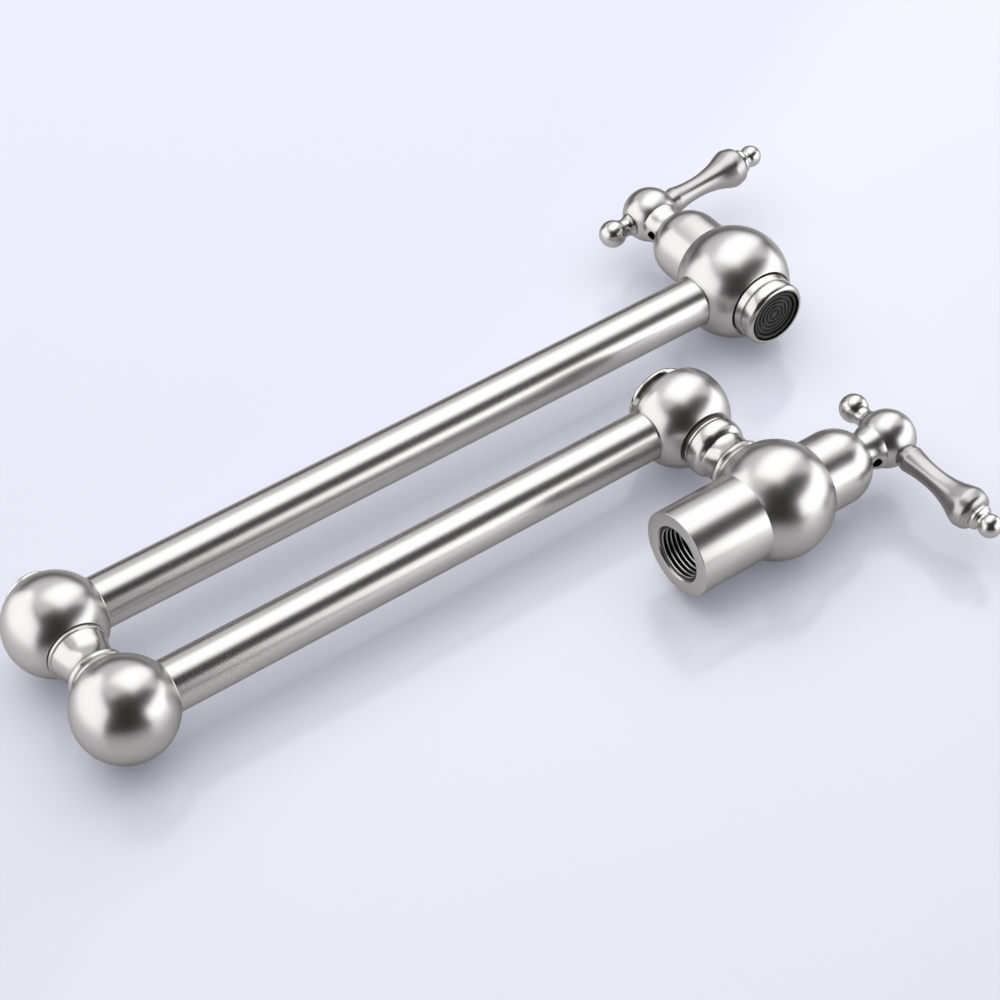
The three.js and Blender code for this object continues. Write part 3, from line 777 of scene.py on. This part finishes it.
def finish(name, colour, roughness, spread, depth, fineness, metallic=1.0, edge=1.0):
    """A material with marks of its own size, darker where it is seen edge on if edge is below 1."""
    material = bpy.data.materials.new(name)
    material.use_nodes = True
    tree = material.node_tree
    surface = tree.nodes["Principled BSDF"]
    surface.inputs["Metallic"].default_value = metallic
    surface.inputs["Specular Tint"].default_value = (edge, edge, edge, 1)
    place = node(tree, "ShaderNodeTexCoord")
    marks = node(tree, "ShaderNodeGroup", node_tree=bpy.data.node_groups["Brushing"])
    marks.inputs["Fineness"].default_value = fineness
    marks.inputs["Roughness"].default_value = roughness
    marks.inputs["Spread"].default_value = spread
    marks.inputs["Tint"].default_value = (*colour, 1)
    bump = node(tree, "ShaderNodeBump", Strength=1.0, Distance=depth)
    link = tree.links.new
    link(place.outputs["Object"], marks.inputs["Vector"])
    link(marks.outputs["Color"], surface.inputs["Base Color"])
    link(marks.outputs["Roughness"], surface.inputs["Roughness"])
    link(marks.outputs["Height"], bump.inputs["Height"])
    link(bump.outputs["Normal"], surface.inputs["Normal"])
    return material


class POTFILLER_OT_finishes(bpy.types.Operator):
    """Make the nickel, brass, ceramic, rubber and plastic"""

    bl_idname = "potfiller.finishes"
    bl_label = "Finishes"

    def execute(self, context):
        look = context.scene.pot_filler_finish
        depth = look.brush_depth
        brushing_group()
        # roughness, how far it wanders, depth of the marks, level of the colour
        nickels = {
            "satin": (look.satin, 0.03, depth, 1.0),
            "drawn": (look.drawn, 0.02, depth * 0.5, 1.0),
            "buffed": (look.buffed, 0.02, depth * 0.5, 0.78),
            "bright": (look.bright, 0.02, depth * 0.5, 0.95),
            "polished": (look.polished, 0.02, depth * 0.25, 1.0),
            "mirror": (look.mirror, 0.01, depth * 0.25, 1.0),
            # painted shade: the nickel at 0.12 of its colour, put in the inlet's thread and the grub screw
            # holes, where shade falls
            "shaded": (0.4, 0.02, depth, 0.12),
        }
        for name, (roughness, spread, marks, level) in nickels.items():
            colour = [channel * level for channel in look.nickel]
            finish(f"{name} nickel", colour, roughness, spread, marks, BRUSHED, edge=look.edge)
        finish("machined brass", (0.56, 0.40, 0.17), 0.34, 0.12, depth, MACHINED)
        finish("plain steel", (0.30, 0.31, 0.33), 0.32, 0.1, depth, MACHINED)
        finish("lapped ceramic", (0.80, 0.78, 0.73), 0.22, 0.08, depth * 0.2, MOULDED, metallic=0.0)
        finish("black rubber", (0.012, 0.012, 0.013), 0.6, 0.2, depth * 3, RUBBED, metallic=0.0)
        finish("black plastic", (0.021, 0.0205, 0.02), 0.4, 0.16, depth * 2, MOULDED, metallic=0.0)
        return {"FINISHED"}


# ------------------------------------------------------------------ pieces


def wall_place():
    """The wall valve's own axes: Z out of the wall, X down."""
    return at(WALL_VALVE, ALONG_X)


def outlet_place():
    """The outlet valve's own axes: Z up, X away from the elbow."""
    return at(OUTLET_VALVE)


class POTFILLER_OT_valves(bpy.types.Operator):
    """Make the two valve bodies and their domed bonnets"""

    bl_idname = "potfiller.valves"
    bl_label = "Valves"

    def execute(self, context):
        satin, threaded = ["satin nickel"], ["satin nickel", "shaded nickel"]
        inside = WALL_VALVE.x + (INLET_FACE + 30) * MM

        # Painted shade: inside the inlet, up to 30 mm in, the thread and the bore take the dark nickel where
        # shade falls; the crest edges keep the plain nickel.
        def painted_shade_in_thread(point):
            across = math.hypot(point.y, point.z) / MM
            bright = THREAD_CREST + 0.02 < across < THREAD_CREST + CREST_EDGE - 0.02
            return 1 if point.x < inside and across < THREAD_ROOT + 0.05 and not bright else 0

        shell = [wall_ball()]
        piece("wall_valve_shell", shell, "wall_valve", threaded, ["valve_body"], painted_shade_in_thread)
        lip = tube_lip(VALVE_BALL, at(OUTLET_VALVE, ALONG_MINUS_X))
        piece("outlet_shell", [outlet_ball(), lip], "outer_arm", satin, ["outlet_body"])
        piece("wall_dome", [bonnet(wall_place())], "wall_valve", satin, ["wall_bonnet"])
        piece("outlet_dome", [bonnet(outlet_place())], "outer_arm", satin, ["outlet_bonnet"])
        return {"FINISHED"}


class POTFILLER_OT_arms(bpy.types.Operator):
    """Make the hubs, caps, tubes and the elbow ball"""

    bl_idname = "potfiller.arms"
    bl_label = "Arms"

    def execute(self, context):
        satin, drawn, mirror = ["satin nickel"], ["drawn nickel"], ["mirror nickel"]
        inner_lip = tube_lip(BALL, at(INNER_HUB, ALONG_MINUS_X))
        trim(inner_lip, INNER_HUB + Vector((0, 0, INNER_LIP_TOP * MM)), (0, 0, 1))
        elbow_lip = tube_lip(BALL, at(ELBOW, ALONG_X))
        outer_lip = tube_lip(BALL, at(ELBOW_HUB, ALONG_X))
        piece("inner_hub_ball", [inner_hub(), inner_lip], "inner_arm", satin, ["inner_hub"])
        piece("inner_cap", [inner_cap()], "inner_arm", mirror, ["inner_hub_cap"])
        piece("inner_pipe", [tube(ELBOW, INNER_HUB)], "inner_arm", drawn, ["inner_tube"])
        piece("elbow_ball", [elbow_ball(), elbow_lip], "inner_arm", satin, ["inner_elbow"])
        piece("outer_hub_ball", [outer_hub(), outer_lip], "outer_arm", satin, ["outer_hub"])
        piece("outer_cap", [outer_cap()], "outer_arm", mirror, ["outer_hub_cap"])
        pipe = [tube(ELBOW_HUB, OUTLET_VALVE)]
        piece("outer_pipe", pipe, "outer_arm", drawn, ["outer_tube"])
        return {"FINISHED"}


class POTFILLER_OT_swivels(bpy.types.Operator):
    """Make the two stems and their black washers"""

    bl_idname = "potfiller.swivels"
    bl_label = "Swivels"

    def execute(self, context):
        bright, black = ["bright nickel"], ["black plastic"]
        low_washer = bearing_washer(INNER_HUB, HUB_BOTTOM - 0.15, 10.45)
        high_washer = bearing_washer(ELBOW_HUB, HUB_BOTTOM + 1.15, 10.1)
        piece("lower_spool", [lower_stem()], "wall_valve", bright, ["lower_stem"])
        piece("lower_washer", [low_washer], "wall_valve", black, ["lower_bearing_washer"])
        piece("elbow_spool", [elbow_stem()], "inner_arm", bright, ["elbow_stem"])
        piece("elbow_washer", [high_washer], "inner_arm", black, ["elbow_bearing_washer"])
        return {"FINISHED"}


class POTFILLER_OT_handles(bpy.types.Operator):
    """Make both handles: hub, lever, finial and screw"""

    bl_idname = "potfiller.handles"
    bl_label = "Handles"

    def execute(self, context):
        handles = (
            ("wall", wall_place(), WALL_HANDLE_TURN, 1),
            ("outlet", outlet_place(), OUTLET_HANDLE_TURN, -1),
        )
        drilled_metals, lever_metals = ["satin nickel", "shaded nickel"], ["buffed nickel", "polished nickel"]
        polished, steel = ["polished nickel"], ["plain steel"]
        for name, place, turn, side in handles:
            place = place @ Matrix.Rotation(turn, 4, "Z")
            screw_at = place @ Vector((0, 0, SCREW_AT * MM))
            across = (place.to_3x3() @ Vector((side, 0, 0))).normalized()
            tip = place @ Vector((LEVER_TIP_FROM * MM, 0, HANDLE_BALL_AT * MM))
            out = (place.to_3x3() @ Vector((1, 0, 0))).normalized()

            # Painted shade: the walls of the grub screw's hole take the dark nickel, where shade falls.
            def painted_shade_in_hole(point, screw_at=screw_at, across=across):
                away = point - screw_at
                depth = away.dot(across)
                return 1 if depth > 0 and (away - across * depth).length < (SCREW_HOLE + 0.05) * MM else 0

            def past_collar(point, tip=tip, out=out):
                return 1 if (point - tip).dot(out) > 0 else 0

            body = f"{name}_handle"
            knob, blade = [handle_hub(place, side)], [lever(place)]
            piece(f"{name}_knob", knob, body, drilled_metals, [f"{body}_hub"], painted_shade_in_hole)
            piece(f"{name}_lever", blade, body, lever_metals, [f"{body}_lever"], past_collar)
            piece(f"{name}_finial", [finial(place)], body, polished, [f"{body}_finial"])
            screw = [handle_screw(place, side)]
            piece(f"{name}_grub_screw", screw, body, steel, [f"{body}_screw"])
        return {"FINISHED"}


class POTFILLER_OT_aerator(bpy.types.Operator):
    """Make the aerator's ring and its black insert"""

    bl_idname = "potfiller.aerator"
    bl_label = "Aerator"

    def execute(self, context):
        bright, black = ["bright nickel"], ["black plastic"]
        piece("aerator_ring", [aerator_housing()], "outer_arm", bright, ["aerator_housing"])
        piece("aerator_core", [aerator_insert()], "outer_arm", black, ["aerator_insert"])
        return {"FINISHED"}


class POTFILLER_OT_inner_works(bpy.types.Operator):
    """Give the cartridges, spindles, discs, seals and nuts their finishes"""

    bl_idname = "potfiller.inner_works"
    bl_label = "Inner works"

    def execute(self, context):
        endings = {
            "cartridge": "machined brass",
            "spindle": "machined brass",
            "nut": "machined brass",
            "clip": "plain steel",
            "disc": "lapped ceramic",
        }
        for name, part in frame["nodes"].items():
            if part.hide_render:
                continue
            material = endings.get(name.rsplit("_", 1)[-1], "black rubber")
            part.data.materials.clear()
            part.data.materials.append(bpy.data.materials[material])
        return {"FINISHED"}


# ------------------------------------------------------------------ stage

# the table lies just behind the valve balls, which rest on it; metres
TABLE_Y = 0.0215
TABLE_HALF = 4.0
STAGE_CENTRE = Vector((-0.04, TABLE_Y, 0.05))
TABLE_LIT = 0.65
TABLE_IN_METAL = 0.93
GLOW_IN_METAL = 0.75
MIX_A, MIX_B, MIX_RESULT = 6, 7, 2  # the colour sockets of a Mix node

# the camera's place in metres, and which way its picture runs
CAMERA_AT = Vector((-0.39829, -0.64489, -0.48195))
CAMERA_RIGHT = Vector((0.81210, 0.02751, -0.58287))
CAMERA_DOWN = Vector((-0.42601, 0.71055, -0.56002))
CAMERA_AHEAD = Vector((0.39875, 0.70311, 0.58876))


def table_direction(azimuth, elevation):
    """A direction above the table: azimuth from +X towards +Z, elevation towards -Y."""
    across, up = math.radians(azimuth), math.radians(elevation)
    return Vector((math.cos(up) * math.cos(across), -math.sin(up), math.cos(up) * math.sin(across)))


def standing(azimuth, elevation, distance, roll):
    """A place beside the table that faces the pot filler."""
    out = table_direction(azimuth, elevation)
    side = Vector((0, -1, 0)).cross(out).normalized()
    facing = Matrix((side, out.cross(side), out)).transposed().to_4x4()
    place = Matrix.Translation(STAGE_CENTRE + out * distance) @ facing
    return place @ Matrix.Rotation(math.radians(roll), 4, "Z")


def hanging(along, across, height, turn):
    """A place above the table that faces straight down."""
    level = Matrix.Rotation(math.radians(90), 4, "X")
    place = STAGE_CENTRE + Vector((along, -height, across))
    return Matrix.Translation(place) @ level @ Matrix.Rotation(math.radians(turn), 4, "Z")


def softbox(name, place, width, height, strength):
    """A rectangular lamp that stays out of the picture."""
    lamp = bpy.data.lights.new(name, "AREA")
    lamp.shape = "RECTANGLE"
    lamp.size, lamp.size_y = width, height
    lamp.energy = strength * width * height * math.pi
    made = bpy.data.objects.new(name, lamp)
    made.matrix_world = place
    made.visible_camera = False
    bpy.context.scene.collection.objects.link(made)
    return made


def table_material(colour, glow):
    """White gloss table with a little light of its own, duller in the metal and clear from behind."""
    material = bpy.data.materials.new("white table")
    material.use_nodes = True
    tree = material.node_tree
    surface = tree.nodes["Principled BSDF"]
    surface.inputs["Roughness"].default_value = 0.15
    surface.inputs["Specular IOR Level"].default_value = 0.5
    own = node(tree, "ShaderNodeEmission")
    path = node(tree, "ShaderNodeLightPath")
    dull = TABLE_IN_METAL * sum(colour) / 3
    tone = node(tree, "ShaderNodeMix", data_type="RGBA")
    tone.inputs[MIX_A].default_value = (dull, dull, dull * 1.03, 1)
    tone.inputs[MIX_B].default_value = (*colour, 1)
    lit = node(tree, "ShaderNodeVectorMath", operation="SCALE")
    lit.inputs["Scale"].default_value = TABLE_LIT
    seen = node(tree, "ShaderNodeMath", operation="MULTIPLY_ADD")
    seen.inputs[1].default_value = GLOW_IN_METAL
    share = node(tree, "ShaderNodeMath", operation="MULTIPLY")
    share.inputs[1].default_value = glow
    both = node(tree, "ShaderNodeAddShader")
    clear = node(tree, "ShaderNodeBsdfTransparent")
    side = node(tree, "ShaderNodeNewGeometry")
    pick = node(tree, "ShaderNodeMixShader")
    link = tree.links.new
    link(path.outputs["Is Camera Ray"], tone.inputs["Factor"])
    link(tone.outputs[MIX_RESULT], own.inputs["Color"])
    link(tone.outputs[MIX_RESULT], lit.inputs[0])
    link(lit.outputs[0], surface.inputs["Base Color"])
    link(path.outputs["Is Glossy Ray"], seen.inputs[0])
    link(path.outputs["Is Camera Ray"], seen.inputs[2])
    link(seen.outputs[0], share.inputs[0])
    link(share.outputs[0], own.inputs["Strength"])
    link(surface.outputs[0], both.inputs[0])
    link(own.outputs[0], both.inputs[1])
    link(side.outputs["Backfacing"], pick.inputs["Fac"])
    link(both.outputs[0], pick.inputs[1])
    link(clear.outputs[0], pick.inputs[2])
    link(pick.outputs[0], tree.nodes["Material Output"].inputs["Surface"])
    return material


def studio_world(room):
    """A dark studio, pale where the camera looks straight at it."""
    world = bpy.data.worlds.new("studio")
    world.use_nodes = True
    tree = world.node_tree
    back = tree.nodes["Background"]
    back.inputs["Color"].default_value = (room, room * 0.95, room * 0.92, 1)
    pale = node(tree, "ShaderNodeBackground", Color=(0.80, 0.82, 0.93, 1))
    path = node(tree, "ShaderNodeLightPath")
    pick = node(tree, "ShaderNodeMixShader")
    link = tree.links.new
    link(path.outputs["Is Camera Ray"], pick.inputs["Fac"])
    link(back.outputs[0], pick.inputs[1])
    link(pale.outputs[0], pick.inputs[2])
    link(pick.outputs[0], tree.nodes["World Output"].inputs["Surface"])
    bpy.context.scene.world = world


class POTFILLER_OT_stage(bpy.types.Operator):
    """Set the table, the softboxes, the dark studio and the camera"""

    bl_idname = "potfiller.stage"
    bl_label = "Stage"

    def execute(self, context):
        settings = context.scene.pot_filler_stage
        bm = bmesh.new()
        bmesh.ops.create_grid(bm, x_segments=1, y_segments=1, size=TABLE_HALF)
        lay = Matrix.Translation((0, TABLE_Y, 0)) @ Matrix.Rotation(math.radians(90), 4, "X")
        bmesh.ops.transform(bm, matrix=lay, verts=bm.verts)
        mesh = bpy.data.meshes.new("table")
        bm.to_mesh(mesh)
        bm.free()
        mesh.materials.append(table_material(settings.table, settings.table_glow))
        table = bpy.data.objects.new("table", mesh)
        context.scene.collection.objects.link(table)

        # each lamp's place, width, height and brightness
        strength = settings.lamp_strength
        softbox("overhead softbox", hanging(0.88, 1.16, 0.85, -7), 2.73, 2.84, strength * 0.385)
        unseen_by_table = (
            softbox("overhead strip", hanging(2.15, 1.1, 0.7, 25), 5.0, 0.68, strength * 0.49),
            softbox("right softbox", standing(-34, 12, 0.8, -13), 1.42, 0.5, strength),
            softbox("left softbox", standing(153, 5, 0.84, 0), 1.66, 1.6, strength * 0.78),
        )
        for lamp in unseen_by_table:
            lamp.visible_diffuse = False
        ceiling = softbox("ceiling", hanging(-0.12, 0.16, 1.1, 0), 2.6, 2.6, settings.sky)
        ceiling.data.color = (1.0, 0.985, 0.94)
        ceiling.visible_glossy = False
        studio_world(settings.room)

        data = bpy.data.cameras.new("camera")
        data.lens = settings.lens
        data.clip_start, data.clip_end = 0.05, 20
        camera = bpy.data.objects.new("camera", data)
        axes = Matrix((CAMERA_RIGHT, -CAMERA_DOWN, -CAMERA_AHEAD)).transposed().to_4x4()
        camera.matrix_world = Matrix.Translation(CAMERA_AT) @ axes
        context.scene.collection.objects.link(camera)
        context.scene.camera = camera
        context.scene.view_settings.view_transform = "Standard"
        return {"FINISHED"}


class POTFILLER_PT_panel(bpy.types.Panel):
    """The pot filler's settings and steps"""

    bl_label = "Pot filler"
    bl_idname = "POTFILLER_PT_panel"
    bl_space_type = "VIEW_3D"
    bl_region_type = "UI"
    bl_category = "Pot filler"

    def draw(self, context):
        layout = self.layout
        for group in (context.scene.pot_filler_finish, context.scene.pot_filler_stage):
            for name in group.__annotations__:
                layout.prop(group, name)
        for step in STEPS:
            layout.operator(step.bl_idname)


# ------------------------------------------------------------------ running

STEPS = (
    POTFILLER_OT_finishes,
    POTFILLER_OT_valves,
    POTFILLER_OT_arms,
    POTFILLER_OT_swivels,
    POTFILLER_OT_handles,
    POTFILLER_OT_aerator,
    POTFILLER_OT_inner_works,
    POTFILLER_OT_stage,
)
CLASSES = (PotFillerFinish, PotFillerStage, *STEPS, POTFILLER_PT_panel)


def register():
    """Make the settings, steps and panel known to Blender."""
    for cls in CLASSES:
        bpy.utils.register_class(cls)
    bpy.types.Scene.pot_filler_finish = PointerProperty(type=PotFillerFinish)
    bpy.types.Scene.pot_filler_stage = PointerProperty(type=PotFillerStage)


def unregister():
    """Take them away again."""
    del bpy.types.Scene.pot_filler_stage
    del bpy.types.Scene.pot_filler_finish
    for cls in reversed(CLASSES):
        bpy.utils.unregister_class(cls)


def main():
    """Make everything in order."""
    register()
    bpy.ops.potfiller.finishes()
    bpy.ops.potfiller.valves()
    bpy.ops.potfiller.arms()
    bpy.ops.potfiller.swivels()
    bpy.ops.potfiller.handles()
    bpy.ops.potfiller.aerator()
    bpy.ops.potfiller.inner_works()
    bpy.ops.potfiller.stage()


if __name__ == "__main__":
    main()
